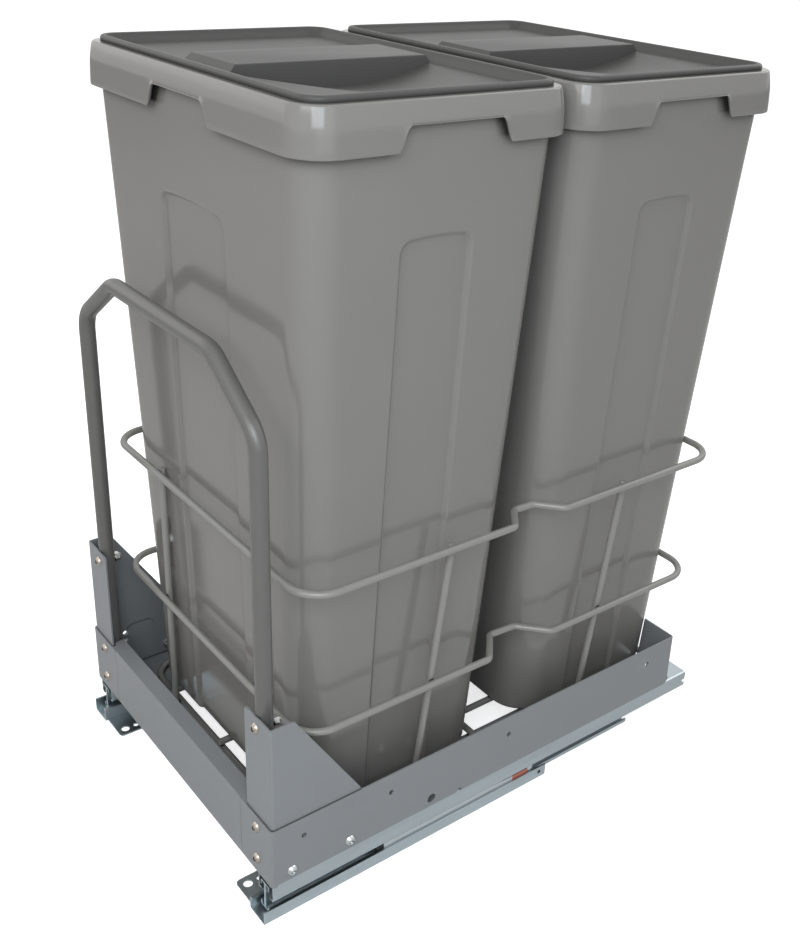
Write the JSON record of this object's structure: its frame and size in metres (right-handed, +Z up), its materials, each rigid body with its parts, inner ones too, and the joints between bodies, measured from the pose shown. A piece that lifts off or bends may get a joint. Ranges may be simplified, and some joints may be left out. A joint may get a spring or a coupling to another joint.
{
  "type": "pull out trash cabinet",
  "caption": "Pull-out waste unit for a base cabinet: lidded bins in a wire basket on a folded steel frame with a bent tube handle, on full-extension floor slides.",
  "frame": {"origin": "on the cabinet floor, midway between the two large front floor holes of the fixed slide members", "axes": "+X to the right seen from the front, +Y to the rear of the cabinet (the unit pulls out along -Y), +Z up"},
  "size_m": [0.3502, 0.5125, 0.6595],
  "materials": {
    "grey_steel": "smooth grey powder coat",
    "grey_tube": "smooth grey powder coat on bent tube",
    "grey_wire": "smooth grey powder coat on wire",
    "zinc_steel": "bright zinc plate on rolled steel",
    "bright_screws": "bright zinc",
    "yellow_screws": "yellow zinc plate",
    "ball_steel": "polished ball steel",
    "cage_plastic": "moulded natural acetal",
    "stop_plastic": "moulded orange-red acetal",
    "black_plastic": "moulded black plastic",
    "bin_plastic": "satin moulded grey polypropylene",
    "lid_plastic": "fine-textured dark grey polypropylene"
  },
  "bodies": {
    "slide_base": {"fixed_member_right": "zinc_steel", "fixed_member_left": "zinc_steel"},
    "pull_out_frame": {"drawer_member_right": "zinc_steel", "drawer_member_left": "zinc_steel", "slide_rivets": "zinc_steel", "side_rail_right": "grey_steel", "side_rail_left": "grey_steel", "front_crossbar": "grey_steel", "rear_strap": "grey_steel", "gusset_bracket_right": "grey_steel", "gusset_bracket_left": "grey_steel", "handle_tube": "grey_tube", "handle_screws": "yellow_screws", "handle_nuts": "bright_screws", "bracket_front_screws": "yellow_screws", "bracket_front_nuts": "bright_screws", "bracket_side_screws": "bright_screws", "bracket_side_nuts": "bright_screws", "basket_upper_loop": "grey_wire", "basket_lower_loop": "grey_wire", "basket_floor_loop": "grey_wire", "basket_long_wires": "grey_wire", "basket_cross_wires": "grey_wire", "basket_front_uprights": "grey_wire", "basket_rear_uprights": "grey_wire", "basket_side_uprights_right": "grey_wire", "basket_side_uprights_left": "grey_wire"},
    "middle_slide_right": {"middle_member_right": "zinc_steel"},
    "lower_balls_right": {"lower_cage_right": "cage_plastic", "lower_cage_balls_right": "ball_steel", "cage_stop_right": "stop_plastic", "cage_button_right": "cage_plastic", "cage_buffer_right": "black_plastic"},
    "upper_balls_right": {"upper_cage_right": "zinc_steel", "upper_cage_balls_right": "ball_steel"},
    "middle_slide_left": {"middle_member_left": "zinc_steel"},
    "lower_balls_left": {"lower_cage_left": "cage_plastic", "lower_cage_balls_left": "ball_steel", "cage_stop_left": "stop_plastic", "cage_button_left": "cage_plastic", "cage_buffer_left": "black_plastic"},
    "upper_balls_left": {"upper_cage_left": "zinc_steel", "upper_cage_balls_left": "ball_steel"},
    "front_bin": {"front_bin": "bin_plastic"},
    "front_lid": {"front_lid": "lid_plastic"},
    "rear_bin": {"rear_bin": "bin_plastic"},
    "rear_lid": {"rear_lid": "lid_plastic"}
  },
  "joints": [
    {"name": "pull_out", "type": "slide", "parent": "slide_base", "child": "pull_out_frame", "axis": [0, -1, 0], "range_m": [0, 0.45]},
    {"name": "middle_slide_right_travel", "type": "slide", "parent": "slide_base", "child": "middle_slide_right", "axis": [0, -1, 0], "range_m": [0, 0.225]},
    {"name": "lower_balls_right_travel", "type": "slide", "parent": "slide_base", "child": "lower_balls_right", "axis": [0, -1, 0], "range_m": [0, 0.1125]},
    {"name": "upper_balls_right_travel", "type": "slide", "parent": "slide_base", "child": "upper_balls_right", "axis": [0, -1, 0], "range_m": [0, 0.3375]},
    {"name": "middle_slide_left_travel", "type": "slide", "parent": "slide_base", "child": "middle_slide_left", "axis": [0, -1, 0], "range_m": [0, 0.225]},
    {"name": "lower_balls_left_travel", "type": "slide", "parent": "slide_base", "child": "lower_balls_left", "axis": [0, -1, 0], "range_m": [0, 0.1125]},
    {"name": "upper_balls_left_travel", "type": "slide", "parent": "slide_base", "child": "upper_balls_left", "axis": [0, -1, 0], "range_m": [0, 0.3375]},
    {"name": "front_bin_lift", "type": "slide", "parent": "pull_out_frame", "child": "front_bin", "axis": [0, 0, 1], "range_m": [0, 0.26]},
    {"name": "front_lid_lift", "type": "slide", "parent": "front_bin", "child": "front_lid", "axis": [0, 0, 1], "range_m": [0, 0.1]},
    {"name": "rear_bin_lift", "type": "slide", "parent": "pull_out_frame", "child": "rear_bin", "axis": [0, 0, 1], "range_m": [0, 0.26]},
    {"name": "rear_lid_lift", "type": "slide", "parent": "rear_bin", "child": "rear_lid", "axis": [0, 0, 1], "range_m": [0, 0.1]}
  ],
  "couplings": [
    {"joint": "middle_slide_right_travel", "follows": "pull_out", "ratio": 0.5},
    {"joint": "lower_balls_right_travel", "follows": "pull_out", "ratio": 0.25},
    {"joint": "upper_balls_right_travel", "follows": "pull_out", "ratio": 0.75},
    {"joint": "middle_slide_left_travel", "follows": "pull_out", "ratio": 0.5},
    {"joint": "lower_balls_left_travel", "follows": "pull_out", "ratio": 0.25},
    {"joint": "upper_balls_left_travel", "follows": "pull_out", "ratio": 0.75}
  ]
}
